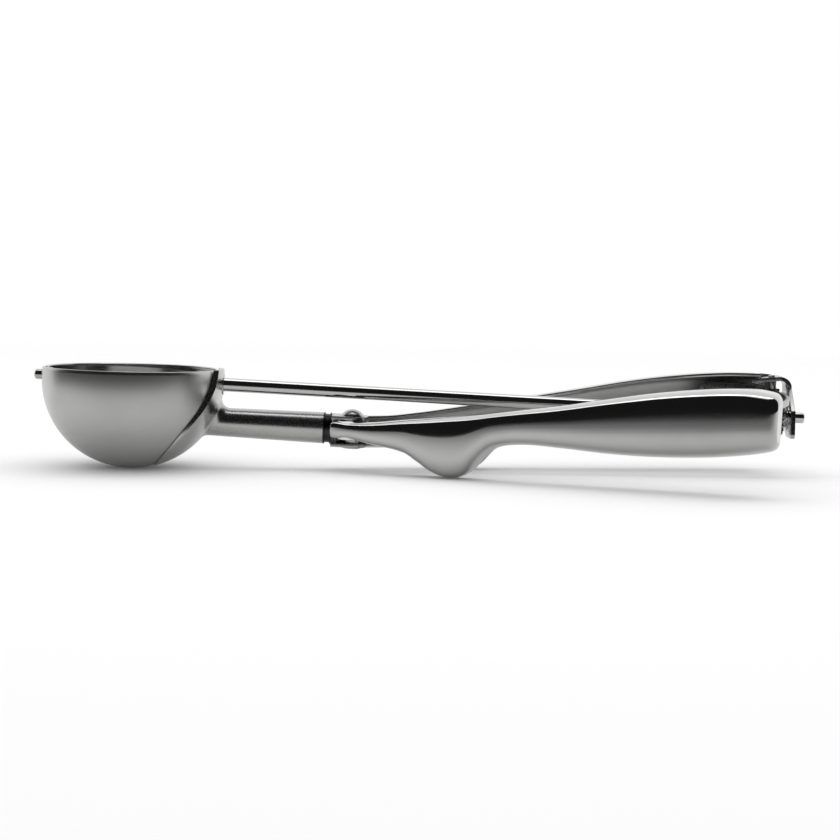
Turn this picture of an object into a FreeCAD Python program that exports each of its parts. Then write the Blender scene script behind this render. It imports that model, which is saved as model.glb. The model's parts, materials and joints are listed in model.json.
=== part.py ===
import FreeCAD
import Part
import math
import os
from FreeCAD import Vector

# Lever ice cream scoop, all stainless steel. Millimetres, +Z up.
# The tool is modelled along its wiper spindle: X runs from the bowl to the tail,
# Y towards the fixed handle, Z up, with the centre of the bowl's sphere at zero.
# At the end it is tilted about Y until the bowl and the finger stops stand on the
# table, and moved so that the origin is at the bottom centre of the whole scoop.

# Bowl
bowl_inner_radius = 25.0
bowl_wall = 0.8
rim_height = 3.6              # rim above the centre of the sphere
rim_tilt_deg = 1.8            # the rim rises a little towards the handles
rim_roll_deg = 1.0            # and a little more towards the lever
rim_bead = 0.5                # how far the rolled rim stands out inside

# Wiper that sweeps the bowl
wiper_clearance = 0.3
wiper_thickness = 0.7
wiper_width = 5.2             # narrow enough to stay below the leaning rim
front_pin_radius = 1.5
front_pin_reach = 2.4         # stands out of the bowl's front
front_pin_head_radius = 2.2
front_pin_head_height = 0.8
wiper_hub_radius = 3.4
wiper_hub_length = 3.2

# Spindle
spindle_radius = 2.0
spindle_tail_reach = 3.4      # stands out past the tail bracket
spindle_tail_radius = 1.6     # turned down where it stands out
spindle_end_chamfer = 0.7
running_clearance = 0.05      # a shaft in its bush
seat_clearance = 0.02         # a pin or bush pressed in its own piece
braze_gap = 0.1               # curved faces that are brazed together
side_gap = 0.3                # running faces beside each other
bush_wall = 1.0

# Saddle and neck, one casting
saddle_thickness = 1.4        # at the spindle
saddle_shift_x = 0.6          # its outside is shifted, so it thins towards the tip
saddle_shift_z = 0.75
saddle_half_width = 14.2
saddle_direction_deg = 38.0   # how far below the spindle the saddle faces
saddle_reach_down = 14.6      # from its middle to the tip under the bowl
saddle_rise_over_rim = 0.05
neck_drop = 11.0              # neck's axis below the spindle
neck_radius_at_bowl = 4.1
neck_radius_at_collar = 4.6
neck_length = 31.2            # from the bowl's outside to the collar
neck_fillet = 2.6             # where the neck grows out of the saddle
tenon_radius = 2.5
tenon_length = 12.0

# Collar
collar_length = 2.4
collar_radius = 4.2
collar_flange_radius = 4.6
collar_flange_width = 0.5

# Pivot fork and its rivet
pivot_from_collar = 6.0
fork_above_neck = 4.0         # outside of the upper ear over the neck's axis
fork_below_neck = 5.0
fork_ear = 1.0
fork_ear_radius = 4.5
fork_back_wall = 1.2
fork_end_wall = 1.4
fork_tang_length = 19.0
fork_tang_height = 3.6
fork_tang_gap = 0.8           # its corners clear the shell's round inside
fork_tang_overlap = 1.0       # how far the tang reaches back into the ears
fork_back_depth = 5.7         # outside of the back wall behind the pivot
fork_end_front = 3.2          # how far its end wall reaches in front
pivot_radius = 1.6
rivet_dome_radius = 3.45
rivet_dome_height = 2.0
rivet_foot_radius = 2.7
rivet_foot_height = 0.5
spacer_radius = 2.6

# Handles
handle_length = 127.0         # from the pivot to the outside of the end wall
handle_wall = 0.9
lever_splay_deg = 21.0
fixed_splay_deg = 4.5
mouth_offset = 1.5            # open edge of a shell beside the line from the pivot
section_power = 3.0           # how square a shell's section is
lever_nose = -3.6             # lever's nose in front of the collar
nose_gap = 0.1                # fixed shell starts past the fork's ears
finger_stop = 33.5            # lowest point of the swell that stops the fingers
swell_end = 46.0              # where the swell runs out into the grip
lug_radius = 3.7
lug_start = -1.5
lug_overlap = 1.2
lug_step = 0.05               # the shell stands out past its lugs
handle_rivet_radius = 1.0
handle_rivet_head = 1.9
handle_rivet_head_height = 0.6

# Return spring, a torsion spring round the pivot
spring_wire = 0.5
spring_bore_gap = 0.5         # round the pivot rivet
spring_pitch = 0.97
spring_whole_turns = 2
spring_leg_lean_deg = 30.0
spring_lever_leg = 10.6
spring_fork_leg = 4.3
spring_side_gap = 0.3         # between the coil and the lever's lugs

# Rack and pinion at the tail
gear_module = 0.5
pinion_teeth = 20
pinion_width = 1.6
pinion_boss_radius = 3.0
pinion_boss_length = 0.8
pressure_angle_deg = 20.0
gear_backlash = 0.05
rack_thickness = 1.0
rack_end_gap = 0.6            # between the rack and the lever's end wall
rack_body = 1.5               # metal above the tooth roots
rack_teeth_past_pinion = 1
rack_tip_margin = 0.8
rack_root_depth = 8.2         # how far the rack reaches into the lever
wiper_travel_deg = 180.0      # what one squeeze turns the wiper
carrier_length = 3.0
carrier_bottom = 3.0
fit_gap = 0.12                # a piece that lies against the inside of a shell
rack_rivet_radius = 0.5
rack_rivet_head = 0.75
rack_rivet_head_height = 0.3

# Tail bracket, bent from sheet
bracket_sheet = 1.2
bracket_gap = 1.9             # inside of the flange to the pinion's tail face
bracket_near = 6.0            # the flange in front of the spindle, at its foot
bracket_shoulder = 4.0        # and at the height where its near edge turns back
bracket_shoulder_height = 2.0
bracket_bend_near = 5.0       # near edge of the sheet in the bend, behind the spindle
bracket_foot_far = 2.5        # the flange's foot behind the spindle
bracket_corner_far = 8.5
bracket_bottom = -5.9
bracket_corner_rise = 3.0
bracket_round = 1.2
bracket_bend = 3.0
bracket_tab_length = 10.6
bracket_tab_width = 3.6
bracket_tab_rise_deg = 10.0   # the tab climbs towards the bend
bracket_tab_inset = 0.2       # tip of the tab behind the handle's open edge
bracket_tab_play = 0.2        # under the inside of the handle's top
bracket_notch_length = 5.7    # the handle's top is cut away for the bracket
bracket_notch_side = 0.6      # and beside it
stud_radius = 0.6
stud_inset = 4.2              # from the flange's inside to the stop stud
stud_from_near = 1.2          # from the tab's near edge
stud_head_radius = 1.0
stud_head_height = 0.6
stop_post_radius = 0.8
stop_post_gap = 0.3           # over the rack
tab_rivet_inset = 1.4         # from the tab's tip
tab_rivet_from_near = 1.9
tab_rivet_head_height = 0.4
washer_thickness = 0.3
washer_radius = 3.2

# Backing plate inside the fixed handle
plate_length = 19.9
plate_end_gap = 3.6           # from its end to the outside of the handle's end wall
plate_thickness = 1.0
plate_depth = 3.4             # behind the open edge
plate_top = 8.1
plate_corner = 3.0
plate_post_radius = 1.2
plate_post_inset = 4.5        # from each end of the plate

# Worked-out sizes
bowl_outer_radius = bowl_inner_radius + bowl_wall
saddle_inner = bowl_outer_radius + braze_gap
saddle_outer = saddle_inner + saddle_thickness
wiper_outer = bowl_inner_radius - wiper_clearance
wiper_inner = wiper_outer - wiper_thickness
neck_end = bowl_outer_radius + neck_length
collar_end = neck_end + collar_length
pivot_x = collar_end + pivot_from_collar
fork_top = fork_above_neck - neck_drop
fork_bottom = -fork_below_neck - neck_drop
spring_radius = pivot_radius + spring_bore_gap + spring_wire / 2
spring_first_deg = -90.0 - lever_splay_deg - spring_leg_lean_deg
spring_last_deg = 90.0 + spring_leg_lean_deg
spring_sweep_deg = 360.0 * (spring_whole_turns + 1) + spring_first_deg - spring_last_deg
spring_climb = spring_pitch * spring_sweep_deg / 360.0
lug_top = fork_top - fork_ear - side_gap
lug_bottom = lug_top - 2 * handle_wall - spring_climb - spring_wire - 2 * spring_side_gap
pinion_radius = gear_module * pinion_teeth / 2
rack_radius = handle_length - handle_wall - rack_end_gap - rack_thickness / 2
lever_travel_deg = wiper_travel_deg * pinion_radius / rack_radius
pinion_x = pivot_x + rack_radius
pinion_face = pinion_x + pinion_width / 2
flange_inside = pinion_face + bracket_gap
flange_outside = flange_inside + bracket_sheet
spindle_tail = flange_outside + spindle_tail_reach
tooth_pitch = math.pi * gear_module
rack_root = pinion_radius + 1.25 * gear_module
rack_top = rack_root + rack_body
fixed_nose = fork_ear_radius + nose_gap
bracket_notch = handle_length - bracket_notch_length
plate_end = handle_length - plate_end_gap
plate_start = plate_end - plate_length
plate_post_places = (plate_start + plate_post_inset, plate_end - plate_post_inset)


def on_grip(share):
    """A place between the end of the swell and the tail, measured from the pivot."""
    return swell_end + share * (handle_length - swell_end)


# Side outlines of the two shells: along, top, bottom, depth to the open edge, depth to the outside.
# Along is measured from the pivot, heights from the spindle, depths from the pivot's line.
lever_outline = [
    (lever_nose, lug_top - 1.0, lug_bottom + 1.0, 7.2, 8.7),
    (lever_nose + 0.6, lug_top - 0.3, lug_bottom + 0.3, 6.9, 8.9),
    (lever_nose + 1.8, lug_top + lug_step, lug_bottom - lug_step, 5.4, 9.0),
    (lug_radius - 1.7, lug_top + lug_step, lug_bottom - lug_step, 2.2, 9.0),
    (9.0, -7.7, -14.4, mouth_offset, 9.3),
    (finger_stop - 14.5, -6.15, -15.9, mouth_offset, 9.6),
    (finger_stop - 10.0, -5.5, -18.3, mouth_offset, 9.8),
    (finger_stop - 5.5, -4.8, -20.8, mouth_offset, 10.0),
    (finger_stop, -3.95, -21.75, mouth_offset, 10.2),
    (finger_stop + 5.0, -3.15, -19.7, mouth_offset, 10.4),
    (finger_stop + 8.5, -2.55, -15.7, mouth_offset, 10.5),
    (swell_end, -1.8, -12.1, mouth_offset, 10.6),
    (on_grip(0.10), -0.3, -10.3, mouth_offset, 10.8),
    (on_grip(0.25), 2.0, -10.2, mouth_offset, 11.2),
    (on_grip(0.42), 5.1, -10.5, mouth_offset, 11.8),
    (on_grip(0.59), 7.9, -10.1, mouth_offset, 12.6),
    (on_grip(0.76), 9.9, -8.9, mouth_offset, 13.2),
    (on_grip(0.89), 10.7, -7.3, mouth_offset, 13.3),
    (on_grip(0.96), 10.3, -6.0, mouth_offset + 0.6, 13.0),
    (handle_length, 9.6, -4.8, mouth_offset + 3.8, 12.4),
]
fixed_outline = [
    (fixed_nose, -7.0, -16.3, mouth_offset, 7.6),
    (fixed_nose + 6.8, -6.5, -16.0, mouth_offset, 7.6),
    (finger_stop - 14.5, -5.3, -16.2, mouth_offset, 7.6),
    (finger_stop - 10.0, -4.5, -18.3, mouth_offset, 7.8),
    (finger_stop - 5.5, -3.6, -20.8, mouth_offset, 8.4),
    (finger_stop, -2.5, -21.6, mouth_offset, 9.2),
    (finger_stop + 5.0, -1.5, -19.6, mouth_offset, 9.8),
    (finger_stop + 8.5, -0.8, -15.7, mouth_offset, 10.2),
    (swell_end, 0.0, -12.1, mouth_offset, 10.5),
    (on_grip(0.10), 1.6, -10.3, mouth_offset, 10.8),
    (on_grip(0.25), 4.1, -10.2, mouth_offset, 11.2),
    (on_grip(0.42), 7.1, -10.5, mouth_offset, 11.8),
    (on_grip(0.59), 9.5, -10.1, mouth_offset, 12.6),
    (on_grip(0.76), 11.1, -8.9, mouth_offset, 13.2),
    (on_grip(0.89), 11.6, -7.3, mouth_offset, 13.3),
    (on_grip(0.96), 11.4, -5.9, mouth_offset, 13.0),
    (handle_length, 11.1, -4.6, mouth_offset, 12.4),
]

X_AXIS = Vector(1, 0, 0)
Y_AXIS = Vector(0, 1, 0)
Z_AXIS = Vector(0, 0, 1)
ORIGIN = Vector(0, 0, 0)
parts = {}


def rod(radius, start, end, y=0.0, z=0.0):
    """Round bar along X."""
    return Part.makeCylinder(radius, end - start, Vector(start, y, z), X_AXIS)


def post(radius, bottom, top, x, y):
    """Round bar along Z."""
    return Part.makeCylinder(radius, top - bottom, Vector(x, y, bottom), Z_AXIS)


def block(x0, x1, y0, y1, z0, z1):
    return Part.makeBox(x1 - x0, y1 - y0, z1 - z0, Vector(x0, y0, z0))


def in_handle(shape, splay_deg, side):
    """Put a piece made along X, with depth along +Y, in its handle's place.

    The lever lies on the side of -Y and the fixed handle on the side of +Y.
    """
    placed = shape.copy()
    if side < 0:
        placed = placed.mirror(ORIGIN, Y_AXIS)
    placed.rotate(ORIGIN, Z_AXIS, side * splay_deg)
    placed.translate(Vector(pivot_x, 0, 0))
    return placed


def lever_place(shape):
    return in_handle(shape, lever_splay_deg, -1)


def fixed_place(shape):
    return in_handle(shape, fixed_splay_deg, 1)


# Bowl and wiper
def tilted(shape):
    """The bowl leans with its rim."""
    leaning = shape.copy()
    leaning.rotate(ORIGIN, Y_AXIS, -rim_tilt_deg)
    leaning.rotate(ORIGIN, X_AXIS, -rim_roll_deg)
    return leaning


def bowl_profile(radius, top):
    """Half of a round-bottomed cup, from its bottom up to a flat top."""
    middle = Vector(radius * math.sin(math.pi / 4), 0, -radius * math.cos(math.pi / 4))
    arc = Part.Arc(Vector(0, 0, -radius), middle, Vector(radius, 0, 0)).toShape()
    side = Part.makeLine(Vector(radius, 0, 0), Vector(radius, 0, top))
    lid = Part.makeLine(Vector(radius, 0, top), Vector(0, 0, top))
    axis = Part.makeLine(Vector(0, 0, top), Vector(0, 0, -radius))
    return Part.Face(Part.Wire([arc, side, lid, axis]))


def make_bowl():
    outside = bowl_profile(bowl_outer_radius, rim_height).revolve(ORIGIN, Z_AXIS, 360)
    inside = bowl_profile(bowl_inner_radius, rim_height + 1).revolve(ORIGIN, Z_AXIS, 360)
    cup = outside.cut(inside)
    bead = Part.makeTorus(bowl_outer_radius - rim_bead, rim_bead, Vector(0, 0, rim_height - rim_bead))
    cup = tilted(cup.fuse(bead).removeSplitter())
    front_hole = rod(front_pin_radius + running_clearance, -bowl_outer_radius - 2, 0)
    back_hole = rod(spindle_radius + bush_wall + seat_clearance, 0, bowl_outer_radius + 2)
    return cup.cut(front_hole).cut(back_hole)


def make_wiper():
    """A thin half hoop that follows the sphere, with a round eye at each end."""
    skin = Part.makeSphere(wiper_outer).cut(Part.makeSphere(wiper_inner))
    half = wiper_width / 2
    band = block(-wiper_outer, wiper_outer, 0, wiper_outer, -half, half)
    eyes = rod(half, -wiper_outer, wiper_outer)
    hoop = skin.common(band.fuse(eyes))
    hoop = hoop.cut(rod(front_pin_radius + seat_clearance, -wiper_outer, 0))
    return hoop.cut(rod(spindle_radius + seat_clearance, 0, wiper_outer))


def make_front_pin():
    head_face = -math.sqrt(wiper_inner ** 2 - front_pin_head_radius ** 2)
    head = rod(front_pin_head_radius, head_face, head_face + front_pin_head_height)
    tip = -bowl_outer_radius - front_pin_reach
    shank = rod(front_pin_radius, tip, head_face)
    shank = chamfer_end(shank, tip, front_pin_radius * 0.3)
    return shank.fuse(head).removeSplitter()


def chamfer_end(bar, end_x, size):
    """Break the round edge of a bar along X at one end."""
    edges = []
    for edge in bar.Edges:
        flat = abs(edge.BoundBox.XMin - end_x) < 0.01 and abs(edge.BoundBox.XMax - end_x) < 0.01
        if flat:
            edges.append(edge)
    return bar.makeChamfer(size, edges)


def make_wiper_hub():
    eye_face = math.sqrt(wiper_inner ** 2 - wiper_hub_radius ** 2)
    hub = rod(wiper_hub_radius, eye_face - wiper_hub_length, eye_face)
    hub = chamfer_end(hub, eye_face - wiper_hub_length, 0.6)
    return hub.cut(rod(spindle_radius + seat_clearance, 0, eye_face + 1))


def make_spindle():
    start = math.sqrt(wiper_inner ** 2 - wiper_hub_radius ** 2) - wiper_hub_length
    shoulder = flange_outside + seat_clearance
    tail = chamfer_end(rod(spindle_tail_radius, shoulder, spindle_tail), spindle_tail, spindle_end_chamfer)
    return rod(spindle_radius, start, shoulder).fuse(tail)


# Saddle, neck and collar
def saddle_outline():
    """Leaf-shaped prism, seen along the direction in which the saddle faces."""
    lean = math.radians(saddle_direction_deg)
    facing = Vector(math.cos(lean), 0, -math.sin(lean))
    along = Vector(math.sin(lean), 0, math.cos(lean))

    def at(s, share):
        return along * s + Y_AXIS * (share * saddle_half_width)

    stations = [(-saddle_reach_down, 0), (-saddle_reach_down * 0.6, 0.78), (0, 1), (12, 0.77), (24, 0.3)]
    side = [at(s, share) for s, share in stations]
    other = [at(s, -share) for s, share in stations]
    edges = []
    for points in (side, other):
        curve = Part.BSplineCurve()
        curve.interpolate(points)
        edges.append(curve.toShape())
    edges.append(Part.makeLine(side[-1], other[-1]))
    face = Part.Face(Part.Wire(Part.__sortEdges__(edges)))
    return face.extrude(facing * (saddle_outer + 5))


def neck_root_edges(casting):
    """The edges where the neck meets the outside of the saddle."""
    found = []
    for edge in casting.Edges:
        middle = edge.valueAt((edge.FirstParameter + edge.LastParameter) / 2)
        off_axis = math.hypot(middle.y, middle.z + neck_drop)
        outside = (middle - Vector(saddle_shift_x, 0, saddle_shift_z)).Length
        on_neck = abs(off_axis - neck_radius_at_bowl) < 0.5 and middle.x < neck_end - 1
        if on_neck and abs(outside - saddle_outer + saddle_shift_x) < 0.05:
            found.append(edge)
    return found


def make_neck_casting():
    centre = Vector(saddle_shift_x, 0, saddle_shift_z)
    outside = Part.makeSphere(saddle_outer - saddle_shift_x, centre)
    saddle = outside.common(saddle_outline())
    start = math.sqrt(saddle_inner ** 2 - neck_drop ** 2) - neck_radius_at_bowl
    outline = [
        Vector(start, 0, -neck_drop),
        Vector(start, 0, -neck_drop + neck_radius_at_bowl),
        Vector(neck_end, 0, -neck_drop + neck_radius_at_collar),
        Vector(neck_end, 0, -neck_drop),
    ]
    neck = Part.Face(Part.makePolygon(outline + [outline[0]])).revolve(outline[0], X_AXIS, 360)
    casting = saddle.fuse(neck).removeSplitter()
    casting = casting.makeFillet(neck_fillet, neck_root_edges(casting))
    room = bowl_profile(saddle_inner, rim_height + 10).revolve(ORIGIN, Z_AXIS, 360)
    casting = casting.cut(tilted(room))
    above_rim = rim_height + saddle_rise_over_rim
    lid = tilted(block(-60, 60, -60, 60, above_rim, above_rim + 60))
    casting = casting.cut(lid)
    casting = casting.cut(rod(spindle_radius + bush_wall + seat_clearance, 0, saddle_outer + 5))
    socket = rod(tenon_radius + seat_clearance, neck_end - tenon_length, neck_end + 1, 0, -neck_drop)
    return casting.cut(socket)


def make_spindle_bush():
    """Plain bush through the bowl's wall and the saddle."""
    radius = spindle_radius + bush_wall
    start = math.sqrt(bowl_inner_radius ** 2 - radius ** 2)
    bush = rod(radius, start, saddle_outer)
    return bush.cut(rod(spindle_radius + running_clearance, start - 1, saddle_outer + 1))


def make_collar():
    ring = rod(collar_radius, neck_end, collar_end, 0, -neck_drop)
    for start in (neck_end, collar_end - collar_flange_width):
        ring = ring.fuse(rod(collar_flange_radius, start, start + collar_flange_width, 0, -neck_drop))
    hole = rod(tenon_radius + seat_clearance, neck_end - 1, collar_end + 1, 0, -neck_drop)
    return ring.removeSplitter().cut(hole)


# Fork, pivot and spring
def ear_plate(bottom, top, back):
    """Plate with a round end about the pivot, reaching back to the fork's wall."""
    start = collar_end
    plate = block(start, pivot_x, -fork_ear_radius, back, bottom, top)
    plate = plate.fuse(block(pivot_x, pivot_x + fork_ear_radius, 0, back, bottom, top))
    plate = plate.fuse(post(fork_ear_radius, bottom, top, pivot_x, 0))
    return plate.removeSplitter()


def fork_rivet_places():
    """Two rivets through the tang and the fixed shell's back: along, height."""
    height = (fork_top + fork_bottom) / 2
    return [(fixed_nose + fork_tang_length * share, height) for share in (0.4, 0.85)]


def across_handle(radius, along, height, near, far):
    """Round bar through a handle's back, in the handle's own frame."""
    return Part.makeCylinder(radius, far - near, Vector(along, near, height), Y_AXIS)


def tang_back():
    """The tang lies against the inside of the fixed shell's back."""
    return fixed_outline[0][4] - handle_wall - fork_tang_gap


def make_fork():
    back = fork_back_depth
    inside = back - fork_back_wall
    end = pivot_x + fork_ear_radius
    fork = ear_plate(fork_top - fork_ear, fork_top, back)
    fork = fork.fuse(ear_plate(fork_bottom, fork_bottom + fork_ear, back))
    fork = fork.fuse(block(collar_end, end, inside, back, fork_bottom, fork_top))
    end_wall = block(collar_end, collar_end + fork_end_wall, -fork_end_front, back, fork_bottom, fork_top)
    fork = fork.fuse(end_wall)
    past_ears = block(fork_ear_radius, 2 * fork_ear_radius, -fork_ear_radius, 3 * fork_ear_radius,
                      fork_bottom - 1, fork_top + 1)
    fork = fork.cut(fixed_place(past_ears))
    middle = (fork_top + fork_bottom) / 2
    half = fork_tang_height / 2
    tang = block(fork_ear_radius - fork_tang_overlap, fixed_nose + fork_tang_length,
                 tang_back() - fork_back_wall, tang_back(), middle - half, middle + half)
    fork = fork.fuse(fixed_place(tang))
    tenon = rod(tenon_radius, neck_end - tenon_length + side_gap, collar_end + fork_end_wall, 0, -neck_drop)
    fork = fork.fuse(tenon).removeSplitter()
    for along, height in fork_rivet_places():
        hole = across_handle(handle_rivet_radius + seat_clearance, along, height, 0, 20)
        fork = fork.cut(fixed_place(hole))
    return fork.cut(post(pivot_radius + seat_clearance, fork_bottom - 1, fork_top + 1, pivot_x, 0))


def make_fork_rivets():
    rivets = []
    for along, height in fork_rivet_places():
        inside = tang_back() - fork_back_wall
        outside = interpolate(fixed_outline, along)[4] + seat_clearance
        rivet = across_handle(handle_rivet_radius, along, height, inside, outside)
        inner_head = inside - handle_rivet_head_height
        rivet = rivet.fuse(across_handle(handle_rivet_head, along, height, inner_head, inside))
        outer_head = outside + handle_rivet_head_height
        rivet = rivet.fuse(across_handle(handle_rivet_head, along, height, outside, outer_head))
        rivets.append(fixed_place(rivet.removeSplitter()))
    return Part.makeCompound(rivets)


def make_pivot_rivet():
    shank = post(pivot_radius, fork_bottom, fork_top, pivot_x, 0)
    foot = post(rivet_foot_radius, fork_bottom - rivet_foot_height, fork_bottom, pivot_x, 0)
    ball = (rivet_dome_radius ** 2 + rivet_dome_height ** 2) / (2 * rivet_dome_height)
    centre = Vector(pivot_x, 0, fork_top + rivet_dome_height - ball)
    dome = Part.makeSphere(ball, centre)
    dome = dome.common(post(rivet_dome_radius + 1, fork_top, fork_top + rivet_dome_height + 1, pivot_x, 0))
    return shank.fuse(foot).fuse(dome).removeSplitter()


def make_pivot_spacer():
    top = lug_bottom - seat_clearance
    bottom = fork_bottom + fork_ear + seat_clearance
    ring = post(spacer_radius, bottom, top, pivot_x, 0)
    return ring.cut(post(pivot_radius + seat_clearance, bottom - 1, top + 1, pivot_x, 0))


def biarc(p0, t0, p1, t1):
    """Two arcs that join two points along their given directions."""
    v = p1 - p0
    t = t0 + t1
    k = 2 * (1 - t0.dot(t1))
    d = (-v.dot(t) + math.sqrt(v.dot(t) ** 2 + k * v.dot(v))) / k
    q = (p0 + p1 + (t0 - t1) * d) * 0.5
    return [tangent_arc(p0, t0, q), tangent_arc(p1, t1 * -1, q)]


def tangent_arc(start, direction, end):
    chord = end - start
    along = chord * (1 / chord.Length)
    side = direction - along * direction.dot(along)
    half = math.acos(max(-1.0, min(1.0, direction.dot(along))))
    middle = (start + end) * 0.5 + side * (chord.Length / 2 * math.tan(half / 2) / side.Length)
    return Part.Arc(start, middle, end)


def spring_path():
    """Coil from the lever's leg, clockwise from above, to the fixed handle's leg."""
    low = (lug_top + lug_bottom) / 2 - spring_climb / 2
    steps = math.ceil(spring_sweep_deg / 90.0)

    def helix(i):
        angle = math.radians(spring_first_deg - spring_sweep_deg * i / steps)
        point = Vector(pivot_x + spring_radius * math.cos(angle), spring_radius * math.sin(angle),
                       low + spring_climb * i / steps)
        turn = Vector(math.sin(angle), -math.cos(angle), 0)
        slope = spring_pitch / (2 * math.pi * spring_radius)
        if i in (0, steps):
            slope = 0.0
        direction = turn + Vector(0, 0, slope)
        return point, direction * (1 / direction.Length)

    edges = []
    point, direction = helix(0)
    edges.append(Part.LineSegment(point - direction * spring_lever_leg, point).toShape())
    for i in range(steps):
        p0, t0 = helix(i)
        p1, t1 = helix(i + 1)
        first_arc, second_arc = biarc(p0, t0, p1, t1)
        edges.append(first_arc.toShape())
        edges.append(second_arc.toShape())
    point, direction = helix(steps)
    edges.append(Part.LineSegment(point, point + direction * spring_fork_leg).toShape())
    return edges


def make_spring():
    edges = spring_path()
    path = Part.Wire(Part.__sortEdges__(edges))
    start = edges[0].Vertexes[0].Point
    direction = edges[0].tangentAt(edges[0].FirstParameter)
    circle = Part.Wire(Part.Circle(start, direction, spring_wire / 2).toShape())
    spring = path.makePipeShell([circle], True, False)
    report_spring_gap(edges)
    return spring


def report_spring_gap(edges):
    """Least gap of the wire to itself, measured on points of its centre line."""
    points = []
    for edge in edges:
        count = max(4, int(edge.Length / 0.25))
        for point in edge.discretize(count):
            points.append(point)
    travelled = [0.0]
    for a, b in zip(points, points[1:]):
        travelled.append(travelled[-1] + (b - a).Length)
    turn = 2 * math.pi * spring_radius
    gap = 1000.0
    for i in range(len(points)):
        for j in range(i + 1, len(points)):
            if travelled[j] - travelled[i] > turn * 0.5:
                gap = min(gap, (points[j] - points[i]).Length)
    print("least gap of the spring to itself %.2f mm" % (gap - spring_wire))


# Handles
def shell_section(station, inset):
    """Closed outline of a shell at one station: the open edge is straight."""
    along, top, bottom, mouth, outside = station
    top -= inset
    bottom += inset
    outside -= inset
    mouth -= inset
    middle = (top + bottom) / 2
    half = (top - bottom) / 2
    depth = outside - mouth
    points = []
    for step in range(11):
        turn = math.pi * step / 10
        rise = math.copysign(abs(math.cos(turn)) ** (2 / section_power), math.cos(turn))
        reach = abs(math.sin(turn)) ** (2 / section_power)
        points.append(Vector(along, mouth + depth * reach, middle + half * rise))
    curve = Part.BSplineCurve()
    curve.interpolate(points)
    return Part.Wire([curve.toShape(), Part.makeLine(points[-1], points[0])])


def interpolate(outline, along):
    """Values of an outline between its stations."""
    for a, b in zip(outline, outline[1:]):
        if a[0] <= along <= b[0]:
            share = (along - a[0]) / (b[0] - a[0])
            return tuple(u + (v - u) * share for u, v in zip(a, b))
    return outline[-1]


def shell_body(outline):
    """The outside of a pressed handle, filled in."""
    return Part.makeLoft([shell_section(station, 0) for station in outline], True, False)


def shell_hollow(outline, first, last, inset):
    """What the press leaves empty inside the handle, past its open edge."""
    inner = [interpolate(outline, first)]
    for station in outline:
        if first + 1 < station[0] < last - 1:
            inner.append(station)
    inner.append(interpolate(outline, last))
    return Part.makeLoft([shell_section(station, inset) for station in inner], True, False)


def make_lever_shell():
    """The shell that is squeezed, with two lugs of its own about the pivot."""
    shell = shell_body(lever_outline)
    shell = shell.cut(shell_hollow(lever_outline, lever_nose + handle_wall, handle_length - handle_wall, handle_wall))
    near = interpolate(lever_outline, lug_start)[3] + lug_overlap
    far = interpolate(lever_outline, lug_radius)[3] + lug_overlap
    for bottom in (lug_bottom, lug_top - handle_wall):
        corners = [
            Vector(lug_start, 0, bottom),
            Vector(lug_start, near, bottom),
            Vector(lug_radius, far, bottom),
            Vector(lug_radius, 0, bottom),
        ]
        lug = Part.Face(Part.makePolygon(corners + [corners[0]])).extrude(Vector(0, 0, handle_wall))
        lug = lug.fuse(post(lug_radius, bottom, bottom + handle_wall, 0, 0))
        shell = shell.fuse(lug.removeSplitter())
    shell = shell.removeSplitter()
    return shell.cut(post(pivot_radius + running_clearance, lug_bottom - 1, lug_top + 1, 0, 0))


def make_fixed_shell():
    """The shell that stays still, notched at the tail for the bracket."""
    shell = shell_body(fixed_outline)
    shell = shell.cut(shell_hollow(fixed_outline, fixed_nose, handle_length - handle_wall, handle_wall))
    far = mouth_offset + bracket_tab_inset + bracket_tab_width + bracket_notch_side
    notch = block(bracket_notch, handle_length + 1, 0, far, notch_height() - bracket_bend, notch_height() + 5)
    shell = shell.cut(notch)
    for along, height in fork_rivet_places():
        shell = shell.cut(across_handle(handle_rivet_radius + seat_clearance, along, height, 3, 20))
    for along in plate_post_places:
        shell = shell.cut(across_handle(plate_rivet_radius() + seat_clearance, along, plate_middle(along), 8, 20))
    return fixed_place(shell).cut(through_tab(tab_rivet_place(), stud_radius + seat_clearance, -3, 3))


# Tail bracket and what it holds
def notch_height():
    """Inside of the fixed handle's top where it is cut away."""
    return interpolate(fixed_outline, bracket_notch)[1] - handle_wall


def fixed_point(along, depth):
    """Where a point of the fixed handle's frame lies in the tool's frame."""
    turn = math.radians(fixed_splay_deg)
    x = pivot_x + along * math.cos(turn) - depth * math.sin(turn)
    y = along * math.sin(turn) + depth * math.cos(turn)
    return x, y


def tab_tip():
    """Where the near corner of the tab's tip lies, seen from above."""
    x = flange_outside - bracket_tab_length
    y = fixed_point(x - pivot_x, mouth_offset + bracket_tab_inset)[1]
    return x, y


def tab_near(x):
    """Near edge of the tab, which slants back from the bend to the tip."""
    tip_x, tip_y = tab_tip()
    share = (flange_outside - x) / (flange_outside - tip_x)
    return bracket_bend_near + share * (tip_y - bracket_bend_near)


def tab_top(x):
    """Upper face of the tab, which climbs towards the bend."""
    touching = fixed_point(bracket_notch, mouth_offset)[0]
    slope = math.tan(math.radians(bracket_tab_rise_deg))
    return notch_height() - bracket_tab_play + (x - touching) * slope


def stop_stud_place():
    x = flange_inside - stud_inset
    return x, tab_near(x) + stud_from_near


def tab_rivet_place():
    x = tab_tip()[0] + tab_rivet_inset
    return x, tab_near(x) + tab_rivet_from_near


def through_tab(place, radius, low, high):
    """Round bar square to the tab, its ends measured from the tab's upper face."""
    x, y = place
    rise = math.radians(bracket_tab_rise_deg)
    axis = Vector(-math.sin(rise), 0, math.cos(rise))
    return Part.makeCylinder(radius, high - low, Vector(x, y, tab_top(x)) + axis * low, axis)


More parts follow.
